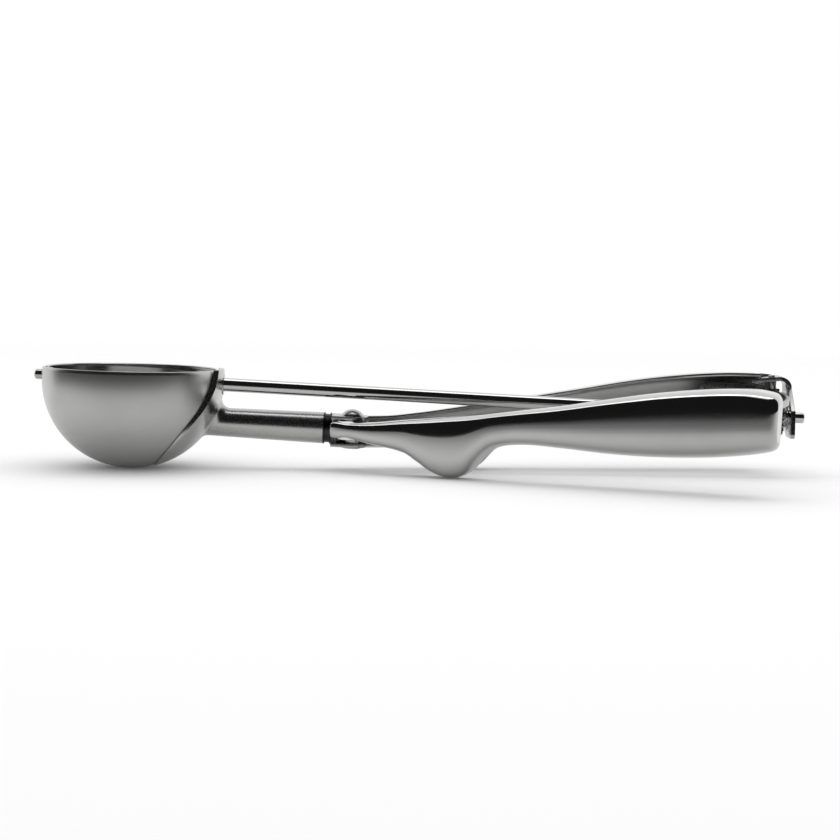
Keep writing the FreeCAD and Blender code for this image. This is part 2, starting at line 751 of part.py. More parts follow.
def bend_centre():
    """Centre of the bend, seen from the side."""
    rise = math.radians(bracket_tab_rise_deg)
    x = flange_outside - bracket_bend
    top = tab_top(x - bracket_bend * math.sin(rise))
    return x, top - bracket_bend * math.cos(rise)


def bracket_strip():
    """Side outline of the bent sheet: tab, bend and the top of the flange."""
    centre_x, centre_z = bend_centre()
    end_deg = 90.0 + bracket_tab_rise_deg

    def on_bend(radius, degrees):
        turn = math.radians(degrees)
        return Vector(centre_x + radius * math.cos(turn), 0, centre_z + radius * math.sin(turn))

    outer = bracket_bend
    inner = bracket_bend - bracket_sheet
    rise = math.radians(bracket_tab_rise_deg)
    run = Vector(math.cos(rise), 0, math.sin(rise)) * (centre_x - tab_tip()[0])
    tip_top = on_bend(outer, end_deg) - run
    tip_under = on_bend(inner, end_deg) - run
    edges = [
        Part.Arc(on_bend(outer, 0), on_bend(outer, end_deg / 2), on_bend(outer, end_deg)).toShape(),
        Part.makeLine(on_bend(outer, end_deg), tip_top),
        Part.makeLine(tip_top, tip_under),
        Part.makeLine(tip_under, on_bend(inner, end_deg)),
        Part.Arc(on_bend(inner, end_deg), on_bend(inner, end_deg / 2), on_bend(inner, 0)).toShape(),
        Part.makeLine(on_bend(inner, 0), on_bend(outer, 0)),
    ]
    return Part.Face(Part.Wire(edges))


def make_bracket():
    """Bent sheet: a tab inside the handle's top, a bend and a flange across the tail."""
    tip_x, tip_y = tab_tip()
    far = tip_y + bracket_tab_width
    flange_top = bend_centre()[1]
    strip = bracket_strip().extrude(Vector(0, far, 0))
    front = [
        Vector(flange_outside + 1, -1, 0),
        Vector(flange_outside + 1, bracket_bend_near, 0),
        Vector(flange_outside, bracket_bend_near, 0),
        Vector(tip_x - 5, tab_near(tip_x - 5), 0),
        Vector(tip_x - 5, -1, 0),
    ]
    strip = strip.cut(Part.Face(Part.makePolygon(front + [front[0]])).extrude(Vector(0, 0, 30)))
    outline = [
        Vector(flange_inside, -bracket_near, bracket_bottom),
        Vector(flange_inside, bracket_foot_far, bracket_bottom),
        Vector(flange_inside, bracket_corner_far, bracket_bottom + bracket_corner_rise),
        Vector(flange_inside, far, flange_top),
        Vector(flange_inside, bracket_bend_near, flange_top),
        Vector(flange_inside, -bracket_shoulder, bracket_shoulder_height),
    ]
    flange = Part.Face(Part.makePolygon(outline + [outline[0]])).extrude(Vector(bracket_sheet, 0, 0))
    corners = []
    for edge in flange.Edges:
        box = edge.BoundBox
        if box.XLength > bracket_sheet / 2 and box.ZMax < flange_top - 1:
            corners.append(edge)
    flange = flange.makeFillet(bracket_round, corners)
    bracket = strip.fuse(flange).removeSplitter()
    bracket = bracket.cut(rod(bush_outside() + seat_clearance, flange_inside - 1, flange_outside + 1))
    for place in (stop_stud_place(), tab_rivet_place()):
        bracket = bracket.cut(through_tab(place, stud_radius + seat_clearance, -3, 3))
    return bracket


def bush_outside():
    return spindle_radius + bush_wall


def make_tail_bush():
    bush = rod(bush_outside(), flange_inside, flange_outside)
    return bush.cut(rod(spindle_radius + running_clearance, flange_inside - 1, flange_outside + 1))


def make_thrust_washer():
    start = pinion_face + pinion_boss_length + (bracket_gap - pinion_boss_length - washer_thickness) / 2
    ring = rod(washer_radius, start, start + washer_thickness)
    return ring.cut(rod(spindle_radius + running_clearance, start - 1, start + 2))


def make_stop_stud():
    """Post riveted into the tab, which stops the rack from climbing off the pinion."""
    place = stop_stud_place()
    rise = math.radians(bracket_tab_rise_deg)
    under = -bracket_sheet
    room = tab_top(place[0]) - rack_top - stop_post_gap
    end = stop_post_radius * math.tan(rise) - room / math.cos(rise)
    stud = through_tab(place, stud_radius, under, 0)
    stud = stud.fuse(through_tab(place, stud_head_radius, 0, stud_head_height))
    stud = stud.fuse(through_tab(place, stop_post_radius, end, under))
    return stud.removeSplitter()


def make_tab_rivet():
    """Rivet through the handle's top and the tab, flush on the outside."""
    place = tab_rivet_place()
    under = -bracket_sheet
    rivet = through_tab(place, stud_radius, under, tab_rivet_rise())
    rivet = rivet.fuse(through_tab(place, stud_head_radius, under - tab_rivet_head_height, under))
    return rivet.removeSplitter()


def tab_rivet_rise():
    """From the tab's upper face to the outside of the handle's top."""
    x = tab_rivet_place()[0]
    along = (x - pivot_x) / math.cos(math.radians(fixed_splay_deg))
    return interpolate(fixed_outline, along)[1] - tab_top(x)


# Backing plate
def plate_middle(along):
    station = interpolate(fixed_outline, along)
    return (station[1] + station[2]) / 2


def plate_rivet_radius():
    return plate_post_radius * 0.6


def make_backing_plate():
    near = mouth_offset + plate_depth
    plate = block(plate_start, plate_end, near, near + plate_thickness, -20, plate_top)
    corners = []
    for edge in plate.Edges:
        box = edge.BoundBox
        if box.ZMin > plate_top - 0.01 and box.YLength > 0.5 and box.XMax < plate_start + 0.01:
            corners.append(edge)
    plate = plate.makeFillet(plate_corner, corners)
    plate = plate.common(shell_hollow(fixed_outline, fixed_nose, handle_length, handle_wall + fit_gap))
    for along in plate_post_places:
        plate = plate.cut(across_handle(plate_rivet_radius() + seat_clearance, along, plate_middle(along), 0, 9))
    return fixed_place(plate)


def make_plate_posts():
    """Shouldered rivets that hold the plate off the handle's back."""
    near = mouth_offset + plate_depth
    rivets = []
    for along in plate_post_places:
        height = plate_middle(along)
        outside = interpolate(fixed_outline, along)[4]
        inner_back = outside - handle_wall - fit_gap
        rivet = across_handle(plate_rivet_radius(), along, height, near, outside)
        rivet = rivet.fuse(across_handle(plate_post_radius, along, height, near - 0.5, near))
        shoulder = across_handle(plate_post_radius, along, height, near + plate_thickness, inner_back)
        rivet = rivet.fuse(shoulder)
        rivets.append(fixed_place(rivet.removeSplitter()))
    return Part.makeCompound(rivets)


# Rack and pinion
def pinion_outline():
    """Involute teeth, with a gap at the top where the rack's first tooth stands."""
    angle = math.radians(pressure_angle_deg)
    base = pinion_radius * math.cos(angle)
    tip = pinion_radius + gear_module
    root = pinion_radius - 1.25 * gear_module
    half_pitch = math.pi / (2 * pinion_teeth) - gear_backlash / (2 * pinion_radius)
    involute = math.tan(angle) - angle

    def half_angle(radius):
        at = math.acos(min(1.0, base / radius))
        return half_pitch + involute - (math.tan(at) - at)

    radii = [base, base + 0.3, base + 0.55, tip]
    points = []
    for tooth in range(pinion_teeth):
        centre = math.pi / 2 + (tooth + 0.5) * 2 * math.pi / pinion_teeth
        rising = [(root, half_angle(base) + 0.01)] + [(r, half_angle(r)) for r in radii]
        flank = [(r, centre - a) for r, a in rising] + [(r, centre + a) for r, a in reversed(rising)]
        for radius, turn in flank:
            points.append(Vector(0, radius * math.cos(turn), radius * math.sin(turn)))
    return points


def make_pinion():
    points = pinion_outline()
    face = Part.Face(Part.makePolygon(points + [points[0]]))
    gear = face.extrude(Vector(pinion_width, 0, 0))
    gear.translate(Vector(pinion_x - pinion_width / 2, 0, 0))
    gear = gear.fuse(rod(pinion_boss_radius, pinion_face - 0.5, pinion_face + pinion_boss_length))
    return gear.removeSplitter().cut(rod(spindle_radius + seat_clearance, pinion_x - 5, pinion_x + 5))


def rack_band(inner, outer, bottom, top, first_deg, last_deg):
    """Part of a ring about the pivot's axis."""
    points = [Vector(inner, 0, bottom), Vector(outer, 0, bottom), Vector(outer, 0, top), Vector(inner, 0, top)]
    face = Part.Face(Part.makePolygon(points + [points[0]]))
    face.rotate(ORIGIN, Z_AXIS, first_deg)
    band = face.revolve(ORIGIN, Z_AXIS, last_deg - first_deg)
    band.translate(Vector(pivot_x, 0, 0))
    return band


def rack_ends():
    """First and last direction of the rack, seen from the pivot."""
    first = -lever_splay_deg - math.degrees(math.asin(rack_root_depth / rack_radius))
    reach = rack_teeth_past_pinion * tooth_pitch + rack_tip_margin
    last = math.degrees(reach / rack_radius)
    return first, last


def make_rack():
    """Strip curved about the pivot, with teeth along its lower edge."""
    inner = rack_radius - rack_thickness / 2
    outer = rack_radius + rack_thickness / 2
    first, last = rack_ends()
    rack = rack_band(inner, outer, rack_root, rack_top, first, last)
    slope = math.tan(math.radians(pressure_angle_deg))
    half = tooth_pitch / 4 - gear_backlash / 2
    low = pinion_radius - gear_module
    high = rack_root + 0.1
    corners = []
    for side, z in ((-1, low), (1, low), (1, high), (-1, high)):
        reach = half + (z - pinion_radius) * slope
        corners.append(Vector(inner + 0.02, side * reach, z))
    tooth = Part.Face(Part.makePolygon(corners + [corners[0]])).extrude(Vector(rack_thickness - 0.04, 0, 0))
    travel_teeth = round(math.radians(lever_travel_deg) * rack_radius / tooth_pitch)
    teeth = []
    for step in range(-travel_teeth - 1, rack_teeth_past_pinion + 1):
        copy = tooth.copy()
        copy.rotate(ORIGIN, Z_AXIS, math.degrees(step * tooth_pitch / rack_radius))
        copy.translate(Vector(pivot_x, 0, 0))
        teeth.append(copy)
    rack = rack.multiFuse(teeth).removeSplitter()
    for place in rack_rivet_places():
        rack = rack.cut(lever_place(along_handle(rack_rivet_radius + seat_clearance, place, 118, 130)))
    return rack


def rack_rivet_places():
    """Depth and height of the rivets that hold the rack to its carrier."""
    height = (rack_root + rack_top) / 2
    return [(rack_root_depth * 0.42, height), (rack_root_depth * 0.8, height)]


def along_handle(radius, place, start, end):
    """Round bar along a handle, in the handle's own frame."""
    depth, height = place
    return rod(radius, start, end, depth, height)


def make_rack_carrier():
    """Block in the lever's tail, brazed under its top, with a round face for the rack."""
    face = rack_radius - rack_thickness / 2
    start = face - carrier_length
    carrier = block(start, face + 1, mouth_offset + 0.3, 30, carrier_bottom, 30)
    carrier = carrier.common(post(face, 0, 30, 0, 0))
    carrier = carrier.common(shell_hollow(lever_outline, 100, handle_length, handle_wall + fit_gap))
    for place in rack_rivet_places():
        carrier = carrier.cut(along_handle(rack_rivet_radius + seat_clearance, place, 110, 130))
    return lever_place(carrier)


def make_rack_rivets():
    outer = rack_radius + rack_thickness / 2
    start = rack_radius - rack_thickness / 2 - carrier_length
    rivets = []
    for place in rack_rivet_places():
        rivet = along_handle(rack_rivet_radius, place, start, outer)
        rivet = rivet.fuse(along_handle(rack_rivet_head, place, outer, outer + rack_rivet_head_height))
        rivet = rivet.fuse(along_handle(rack_rivet_head, place, start - rack_rivet_head_height, start))
        rivets.append(lever_place(rivet.removeSplitter()))
    return Part.makeCompound(rivets)


def rest_tilt():
    """Tilt about Y at which the bowl and the finger stops stand at one height."""
    points = []
    for name in ("lever_handle", "fixed_handle"):
        vertices, triangles = parts[name].tessellate(0.02)
        points.extend(vertices)
    tilt = 0.0
    for step in range(20):
        low = min(points, key=lambda p: p.z * math.cos(tilt) - p.x * math.sin(tilt))
        reach = math.hypot(low.x, low.z)
        tilt = math.asin(bowl_outer_radius / reach) + math.atan2(low.z, low.x)
    return tilt


def build_parts():
    parts["bowl"] = make_bowl()
    parts["neck_casting"] = make_neck_casting()
    parts["spindle_bush"] = make_spindle_bush()
    parts["neck_collar"] = make_collar()
    parts["pivot_fork"] = make_fork()
    parts["pivot_rivet"] = make_pivot_rivet()
    parts["pivot_spacer"] = make_pivot_spacer()
    parts["torsion_spring"] = make_spring()
    parts["fixed_handle"] = make_fixed_shell()
    parts["fork_rivets"] = make_fork_rivets().cut(parts["fixed_handle"])
    parts["backing_plate"] = make_backing_plate()
    parts["plate_posts"] = make_plate_posts()
    parts["tail_bracket"] = make_bracket()
    parts["stop_stud"] = make_stop_stud()
    parts["tab_rivet"] = make_tab_rivet()
    parts["tail_bush"] = make_tail_bush()
    parts["lever_handle"] = lever_place(make_lever_shell())
    parts["rack_carrier"] = make_rack_carrier()
    parts["rack"] = make_rack()
    parts["rack_rivets"] = make_rack_rivets()
    parts["spindle"] = make_spindle()
    parts["pinion"] = make_pinion()
    parts["thrust_washer"] = make_thrust_washer()
    parts["wiper_hub"] = make_wiper_hub()
    parts["wiper_blade"] = make_wiper()
    parts["wiper_front_pin"] = make_front_pin()


def main():
    os.makedirs("parts", exist_ok=True)
    build_parts()
    tilt = rest_tilt()
    for shape in parts.values():
        shape.rotate(ORIGIN, Y_AXIS, math.degrees(tilt))
    whole = FreeCAD.BoundBox()
    for shape in parts.values():
        whole.add(shape.optimalBoundingBox(False, False))
    shift = Vector(-(whole.XMin + whole.XMax) / 2, -(whole.YMin + whole.YMax) / 2, bowl_outer_radius)
    for name, shape in parts.items():
        shape.translate(shift)
        solid = "valid %s, solids %d, volume %.1f" % (shape.isValid(), len(shape.Solids), shape.Volume)
        print("%-16s %s" % (name, solid))
        shape.exportStep("parts/%s.step" % name)
    print("tilt %.4f degrees" % math.degrees(tilt))
    print("bowl centre at %.3f %.3f %.3f" % (shift.x, shift.y, shift.z))
    print("size %.2f %.2f %.2f, lowest %.3f" % (whole.XLength, whole.YLength, whole.ZLength,
                                               whole.ZMin + bowl_outer_radius))


main()
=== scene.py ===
# %% [markdown]
# A lever ice cream scoop in stainless steel, dressed for a studio picture. The scoop's construction comes
# in as a fixed frame of named parts. Each visible part is then modelled again with smooth, softly edged
# surfaces, because polished steel shows every facet of a plain mesh.

# %% Load the frame
import json
import math

import bpy
import bmesh
from mathutils import Matrix, Vector


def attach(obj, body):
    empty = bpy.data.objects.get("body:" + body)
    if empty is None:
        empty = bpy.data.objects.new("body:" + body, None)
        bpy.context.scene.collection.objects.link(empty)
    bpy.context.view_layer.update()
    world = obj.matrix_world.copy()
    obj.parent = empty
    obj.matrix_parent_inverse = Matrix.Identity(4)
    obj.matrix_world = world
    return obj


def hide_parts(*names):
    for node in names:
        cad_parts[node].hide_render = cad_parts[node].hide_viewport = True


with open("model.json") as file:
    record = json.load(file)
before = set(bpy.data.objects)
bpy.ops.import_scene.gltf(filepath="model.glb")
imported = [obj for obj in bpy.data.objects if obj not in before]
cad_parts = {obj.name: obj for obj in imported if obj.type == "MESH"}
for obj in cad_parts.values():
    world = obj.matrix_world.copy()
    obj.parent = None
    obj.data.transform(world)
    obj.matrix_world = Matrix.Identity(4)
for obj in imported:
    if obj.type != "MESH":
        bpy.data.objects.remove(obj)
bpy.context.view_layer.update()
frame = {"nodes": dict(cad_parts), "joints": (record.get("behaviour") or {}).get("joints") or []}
joints = {joint["name"]: joint for joint in frame["joints"]}

# %% [markdown]
# The scoop was designed along its spindle: X along the spindle from the middle of the bowl, Y towards the
# fixed handle, Z up, in millimetres. It rests on the table a little tilted. The wiper's joint gives the
# spindle's line, so one matrix takes a piece from the drawing to the table. Modelling in millimetres also
# keeps the numbers large enough for operators that merge or bevel.

# %% From the drawing to the table
MM = 0.001
bowl_centre = Vector(joints["wiper_spin"]["pos_m"])
spindle_line = Vector(joints["wiper_spin"]["axis"])
pivot_place = Vector(joints["lever_pivot"]["pos_m"])
tilt = math.atan2(-spindle_line.z, spindle_line.x)
TO_TABLE = Matrix.Translation(bowl_centre) @ Matrix.Rotation(tilt, 4, "Y") @ Matrix.Scale(MM, 4)
TO_DRAWING = TO_TABLE.inverted()
pivot_x = (TO_DRAWING @ pivot_place).x
print("tilt %.3f degrees, pivot %.2f mm from the bowl's centre" % (math.degrees(tilt), pivot_x))

# %% [markdown]
# Every piece ends the same way: its mesh is moved to the table, its object is left at the origin and hung
# under the empty of the body that carries it, it takes its finish, and the parts of the frame that it stands
# for are hidden.

# %% Seat a finished piece
def only(piece):
    """Deselect everything, then select one object and make it active."""
    bpy.ops.object.select_all(action="DESELECT")
    piece.select_set(True)
    bpy.context.view_layer.objects.active = piece


def named(name):
    """Name the object that was just added."""
    piece = bpy.context.object
    piece.name = name
    piece.data.name = name
    return piece


def apply_modifiers(piece):
    only(piece)
    for modifier in list(piece.modifiers):
        bpy.ops.object.modifier_apply(modifier=modifier.name)


def soften(piece, width, segments=3, angle=30.0):
    """Round the sharp edges, as tumbling and polishing do."""
    bevel = piece.modifiers.new("soft edges", "BEVEL")
    bevel.width = width
    bevel.segments = segments
    bevel.limit_method = "ANGLE"
    bevel.angle_limit = math.radians(angle)


def seat(piece, body, slot, finish, *nodes, smooth_deg=35.0):
    """Put a piece that was modelled in the drawing on the table and hand it to the frame."""
    apply_modifiers(piece)
    piece.data.transform(piece.matrix_world)
    piece.matrix_world = Matrix.Identity(4)
    piece.data.transform(TO_TABLE)
    only(piece)
    bpy.ops.object.shade_smooth_by_angle(angle=math.radians(smooth_deg))
    if finish:
        piece.data.materials.clear()
        piece.data.materials.append(finish)
    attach(piece, body)
    if nodes:
        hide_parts(*nodes)
    print("%-18s %6d faces" % (piece.name, len(piece.data.polygons)))
    return piece


# %% [markdown]
# Steel is one metal here, but each piece left a different tool. A finish is a roughness, a grain and how
# strongly the grain shows. Brushing leaves long fine lines, so its pattern is noise that is stretched
# along the piece. Casting and tumbling leave a fine even mottle.

# %% Helpers for finishes
def linear(hex_colour):
    """An sRGB hex colour as the linear colour that shaders use."""
    channels = []
    for i in (1, 3, 5):
        value = int(hex_colour[i:i + 2], 16) / 255
        channels.append(value / 12.92 if value <= 0.04045 else ((value + 0.055) / 1.055) ** 2.4)
    return (*channels, 1.0)


def node(tree, kind, settings=None, values=None, links=None):
    """Add one shader node, set its properties and sockets, and link its inputs."""
    added = tree.nodes.new(kind)
    for key, value in (settings or {}).items():
        setattr(added, key, value)
    for key, value in (values or {}).items():
        added.inputs[key].default_value = value
    for key, socket in (links or {}).items():
        tree.links.new(socket, added.inputs[key])
    return added


def ramp(tree, source, stops):
    """A colour ramp of greys: place and brightness of each stop."""
    added = node(tree, "ShaderNodeValToRGB", links={"Fac": source})
    elements = added.color_ramp.elements
    while len(elements) < len(stops):
        elements.new(0.5)
    for element, (place, grey) in zip(elements, stops):
        element.position = place
        element.color = (grey, grey, grey, 1.0)
    return added.outputs["Color"]


def steel(name, colour, roughness, spread, grain_mm, stretch=(1, 1, 1), bump=0.0, smudge=0.04,
          turn=(0, 0, 0)):
    """Stainless steel: a metal whose roughness and height vary with a grain of a real size.

    spread is how much the roughness varies, grain_mm the size of the grain, stretch how much longer it is
    along each axis, bump its depth in millimetres, smudge how much darker handling has left the metal in
    places, and turn the way the grain is turned with its piece.
    """
    made = bpy.data.materials.new(name)
    made.use_nodes = True
    tree = made.node_tree
    tree.nodes.clear()
    place = node(tree, "ShaderNodeTexCoord").outputs["Object"]
    scale = [grain_mm * MM * s for s in stretch]
    grain_place = node(tree, "ShaderNodeMapping", {"vector_type": "TEXTURE"},
                       {"Scale": scale, "Rotation": turn}, {"Vector": place}).outputs["Vector"]
    grain = node(tree, "ShaderNodeTexNoise", values={"Scale": 1.0, "Detail": 4.0, "Roughness": 0.6},
                 links={"Vector": grain_place}).outputs["Fac"]
    cloud = node(tree, "ShaderNodeTexNoise", values={"Scale": 1.0 / (12 * MM), "Detail": 3.0},
                 links={"Vector": place}).outputs["Fac"]
    base = linear(colour)
    worn = (*(c * (1.0 - smudge) for c in base[:3]), 1.0)
    mix = node(tree, "ShaderNodeMix", {"data_type": "RGBA"},
               {"A": base, "B": worn}, {"Factor": ramp(tree, cloud, [(0.4, 0.0), (0.68, 1.0)])})
    rough = node(tree, "ShaderNodeMapRange",
                 values={"From Min": 0.25, "From Max": 0.75,
                         "To Min": roughness - spread, "To Max": roughness + spread},
                 links={"Value": grain}).outputs["Result"]
    hazed = node(tree, "ShaderNodeMath", {"operation": "MULTIPLY_ADD"}, {1: spread * 0.6},
                 {0: cloud, 2: rough})
    shader = node(tree, "ShaderNodeBsdfPrincipled", values={"Metallic": 1.0},
                  links={"Base Color": mix.outputs["Result"], "Roughness": hazed.outputs["Value"]})
    if bump:
        height = node(tree, "ShaderNodeBump", values={"Strength": 1.0, "Distance": bump * MM},
                      links={"Height": grain})
        tree.links.new(height.outputs["Normal"], shader.inputs["Normal"])
    node(tree, "ShaderNodeOutputMaterial", links={"Surface": shader.outputs["BSDF"]})
    return made


# %% [markdown]
# The finishes, from the bright spindle to the dark collar. The grains are drawn a little coarser than
# real ones, which are a few hundredths of a millimetre and too fine to show in a picture of the whole
# scoop.

# %% Finishes
along_piece = (60, 1, 1)
lever_splay_deg = 21.0
fixed_splay_deg = 4.5
lever_grain = (0, tilt, -math.radians(lever_splay_deg))
fixed_grain = (0, tilt, math.radians(fixed_splay_deg))
polished = steel("polished stainless steel", "#c9c9c8", 0.10, 0.03, 0.25, (8, 1, 1))
spun = steel("spun and satin polished stainless steel", "#c3c3c2", 0.31, 0.04, 0.12, (1, 1, 6), 0.0012)
spun_inside = steel("polished inside of the bowl", "#b9b9b8", 0.14, 0.05, 0.3, (1, 1, 4), 0.002)
lever_finish = steel("line polished stainless sheet, lever", "#c6c6c5", 0.075, 0.03, 0.07,
                     along_piece, 0.0009, turn=lever_grain)
fixed_finish = steel("line polished stainless sheet, fixed handle", "#c6c6c5", 0.10, 0.03, 0.07,
                     along_piece, 0.0009, turn=fixed_grain)
# The inside of the handles has a lighter colour than the outside sheet. This is painted light, standing in
# for the white table and the lever's bright back reflected inside the handle.
sheet_inside_painted_light = steel("satin inside of the pressed sheet", "#d2d2d1", 0.5, 0.05, 0.1, (20, 1, 1), 0.0012,
                     turn=fixed_grain)
cast = steel("satin cast stainless steel", "#bcbcbb", 0.24, 0.05, 0.16, (3, 1, 1), 0.0014)
pressed = steel("tumbled pressed stainless steel", "#adadac", 0.24, 0.06, 0.18, (1, 1, 1), 0.003)
turned = steel("turned stainless steel", "#b8b8b7", 0.20, 0.05, 0.06, (1, 8, 8), 0.0015)
dark_oxide = steel("dark oxide on turned steel", "#3b3b3c", 0.30, 0.06, 0.1, (1, 6, 6), 0.002)
spring_temper = steel("hard drawn stainless wire and strip", "#bcbcbb", 0.17, 0.04, 0.1, (6, 6, 1), 0.001)
stamped = steel("stamped stainless steel", "#9c9c9b", 0.27, 0.06, 0.15, (1, 1, 1), 0.003)

# %% [markdown]
# Small sheet and turned parts have the right shape in the frame already. A copy of each gets its
# triangles merged, its flat faces joined and its edges softened, since no real edge is perfectly sharp. A
# soft edge catches a thin line of light, and that line is what makes a small part read as metal.

# %% Soft-edged copies of the small parts
def softened_copy(name, width, segments=3, angle=35.0):
    """A copy of a part of the frame, in the drawing's millimetres, with its edges softened."""
    copy = bpy.data.objects.new(name + "_dressed", frame["nodes"][name].data.copy())
    bpy.context.scene.collection.objects.link(copy)
    copy.data.transform(TO_DRAWING)
    only(copy)
    bpy.ops.object.mode_set(mode="EDIT")
    bpy.ops.mesh.select_all(action="SELECT")
    bpy.ops.mesh.remove_doubles(threshold=0.002)
    bpy.ops.mesh.dissolve_limited(angle_limit=math.radians(0.4))
    bpy.ops.object.mode_set(mode="OBJECT")
    soften(copy, width, segments, angle)
    return copy


small_parts = [
    ("pivot_fork", "frame", "pressed_steel", pressed, 0.22),
    ("pivot_spacer", "frame", "turned_steel", turned, 0.1),
    ("neck_collar", "frame", "dark_steel", dark_oxide, 0.12),
    ("pivot_rivet", "frame", "polished_steel", turned, 0.1),
    ("fork_rivets", "frame", "turned_steel", turned, 0.2),
    ("backing_plate", "frame", "pressed_steel", pressed, 0.2),
    ("plate_posts", "frame", "turned_steel", turned, 0.1),
    ("tail_bracket", "frame", "pressed_steel", pressed, 0.2),
    ("stop_stud", "frame", "turned_steel", turned, 0.15),
    ("tab_rivet", "frame", "turned_steel", turned, 0.12),
    ("tail_bush", "frame", "turned_steel", turned, 0.08),
    ("spindle_bush", "frame", "turned_steel", turned, 0.08),
    ("rack", "lever", "gear_steel", stamped, 0.05),
    ("rack_carrier", "lever", "turned_steel", stamped, 0.15),
    ("rack_rivets", "lever", "turned_steel", turned, 0.1),
    ("pinion", "wiper", "gear_steel", stamped, 0.05),
    ("thrust_washer", "wiper", "turned_steel", turned, 0.05),
    ("wiper_hub", "wiper", "turned_steel", turned, 0.15),
    ("wiper_front_pin", "wiper", "polished_steel", turned, 0.1),
]
for name, body, slot, finish, width in small_parts:
    seat(softened_copy(name, width), body, slot, finish, name)

# %% [markdown]
# The bowl is spun from sheet: a half sphere that runs up into a short straight wall, with a polished lip
# that is turned a little inwards. Half of a UV sphere gives the round, and its open edge is extruded
# upwards ring by ring. Solidify then gives the sheet its thickness. The outside keeps the satin of the
# spinning lathe, and the inside is polished so that ice cream lets go of it.

# %% Bowl
bowl_radius = 25.8
sheet = 0.8
rim_height = 3.6
rim_tilt_deg = 1.8
rim_roll_deg = 1.0
lip_start = 2.5
lip_lean = 0.35
lip_turn = 0.25
lip_turn_lean = 0.03
ring_faces = 160
bowl_rings = 80
close_to = 0.01
inside_slot = 1
lip_slot = 2
lip_edge = 0.24


def pick(piece, test, kind="VERT"):
    """In edit mode, select the vertices or faces whose place passes a test."""
    bpy.ops.mesh.select_mode(type=kind)
    bpy.ops.mesh.select_all(action="DESELECT")
    mesh = bmesh.from_edit_mesh(piece.data)
    for item in (mesh.verts if kind == "VERT" else mesh.faces):
        where = item.co if kind == "VERT" else item.calc_center_median()
        if test(where):
            item.select_set(True)
    mesh.select_flush(True)
    bmesh.update_edit_mesh(piece.data)


bpy.ops.object.select_all(action="DESELECT")
bpy.ops.mesh.primitive_uv_sphere_add(segments=ring_faces, ring_count=bowl_rings, radius=bowl_radius)
bowl = named("bowl_dressed")
bpy.ops.object.mode_set(mode="EDIT")
pick(bowl, lambda v: v.z > close_to)
bpy.ops.mesh.delete(type="VERT")
rim_steps = [(lip_start, 0.0), (lip_turn, lip_turn_lean), (rim_height - lip_start - lip_turn, lip_lean)]
for up, inwards in rim_steps:
    top = max(vertex.co.z for vertex in bmesh.from_edit_mesh(bowl.data).verts)
    pick(bowl, lambda v: v.z > top - close_to)
    bpy.ops.mesh.extrude_region_move(TRANSFORM_OT_translate={"value": (0, 0, up)})
    bpy.ops.transform.resize(value=(1 - inwards / bowl_radius, 1 - inwards / bowl_radius, 1))
bpy.ops.object.mode_set(mode="OBJECT")
wall = bowl.modifiers.new("sheet", "SOLIDIFY")
wall.thickness = sheet
wall.offset = -1
wall.material_offset = inside_slot
wall.material_offset_rim = lip_slot
bowl.data.materials.append(spun)
bowl.data.materials.append(spun_inside)
bowl.data.materials.append(polished)
soften(bowl, lip_edge, 4, 50)
bowl.matrix_world = (Matrix.Rotation(math.radians(-rim_roll_deg), 4, "X")
                     @ Matrix.Rotation(math.radians(-rim_tilt_deg), 4, "Y"))
seat(bowl, "frame", "polished_steel", None, "bowl", smooth_deg=50)

# %% [markdown]
# Both handles are pressings: one sheet drawn over a punch, deep at the grip and with a swell that stops
# the fingers. Their sides can be read off the photograph at a few stations, and their section is a
# rounded square that is open on one side. A grid is laid over the stations, one row to each place along
# the handle, with a smooth curve through them. The rows turn a round corner at the tail and close in
# rings to the end wall. Solidify adds the sheet's thickness on the inside, and a bevel rounds the open
# edge.

# %% Stations of the handles
# Along the handle from the pivot, top, bottom, depth to the open edge and depth to the outside, in
# millimetres.
lug_top = -8.3
lug_bottom = -13.4
open_edge = 1.5
lever_stations = [
    (-3.6, lug_top - 1.0, lug_bottom + 1.0, 7.2, 8.7),
    (-3.0, lug_top - 0.3, lug_bottom + 0.3, 6.9, 8.9),
    (-1.8, lug_top, lug_bottom, 5.4, 9.0),
    (2.0, lug_top, lug_bottom, 2.2, 9.0),
    (9.0, -7.7, -14.4, open_edge, 9.3),
    (19.0, -6.15, -15.9, open_edge, 9.6),
    (23.5, -5.5, -18.3, open_edge, 9.8),
    (28.0, -4.8, -20.8, open_edge, 10.0),
    (33.5, -3.95, -21.75, open_edge, 10.2),
    (38.5, -3.15, -19.7, open_edge, 10.4),
    (42.0, -2.55, -15.7, open_edge, 10.5),
    (46.0, -1.8, -12.1, open_edge, 10.6),
    (54.1, -0.3, -10.3, open_edge, 10.8),
    (66.2, 2.0, -10.2, open_edge, 11.2),
    (80.0, 5.1, -10.5, open_edge, 11.8),
    (93.8, 7.9, -10.1, open_edge, 12.6),
    (107.6, 9.9, -8.9, open_edge, 13.2),
    (118.1, 10.7, -7.3, open_edge, 13.3),
    (123.8, 10.3, -6.0, 2.1, 13.0),
    (127.0, 9.6, -4.8, 5.3, 12.4),
]
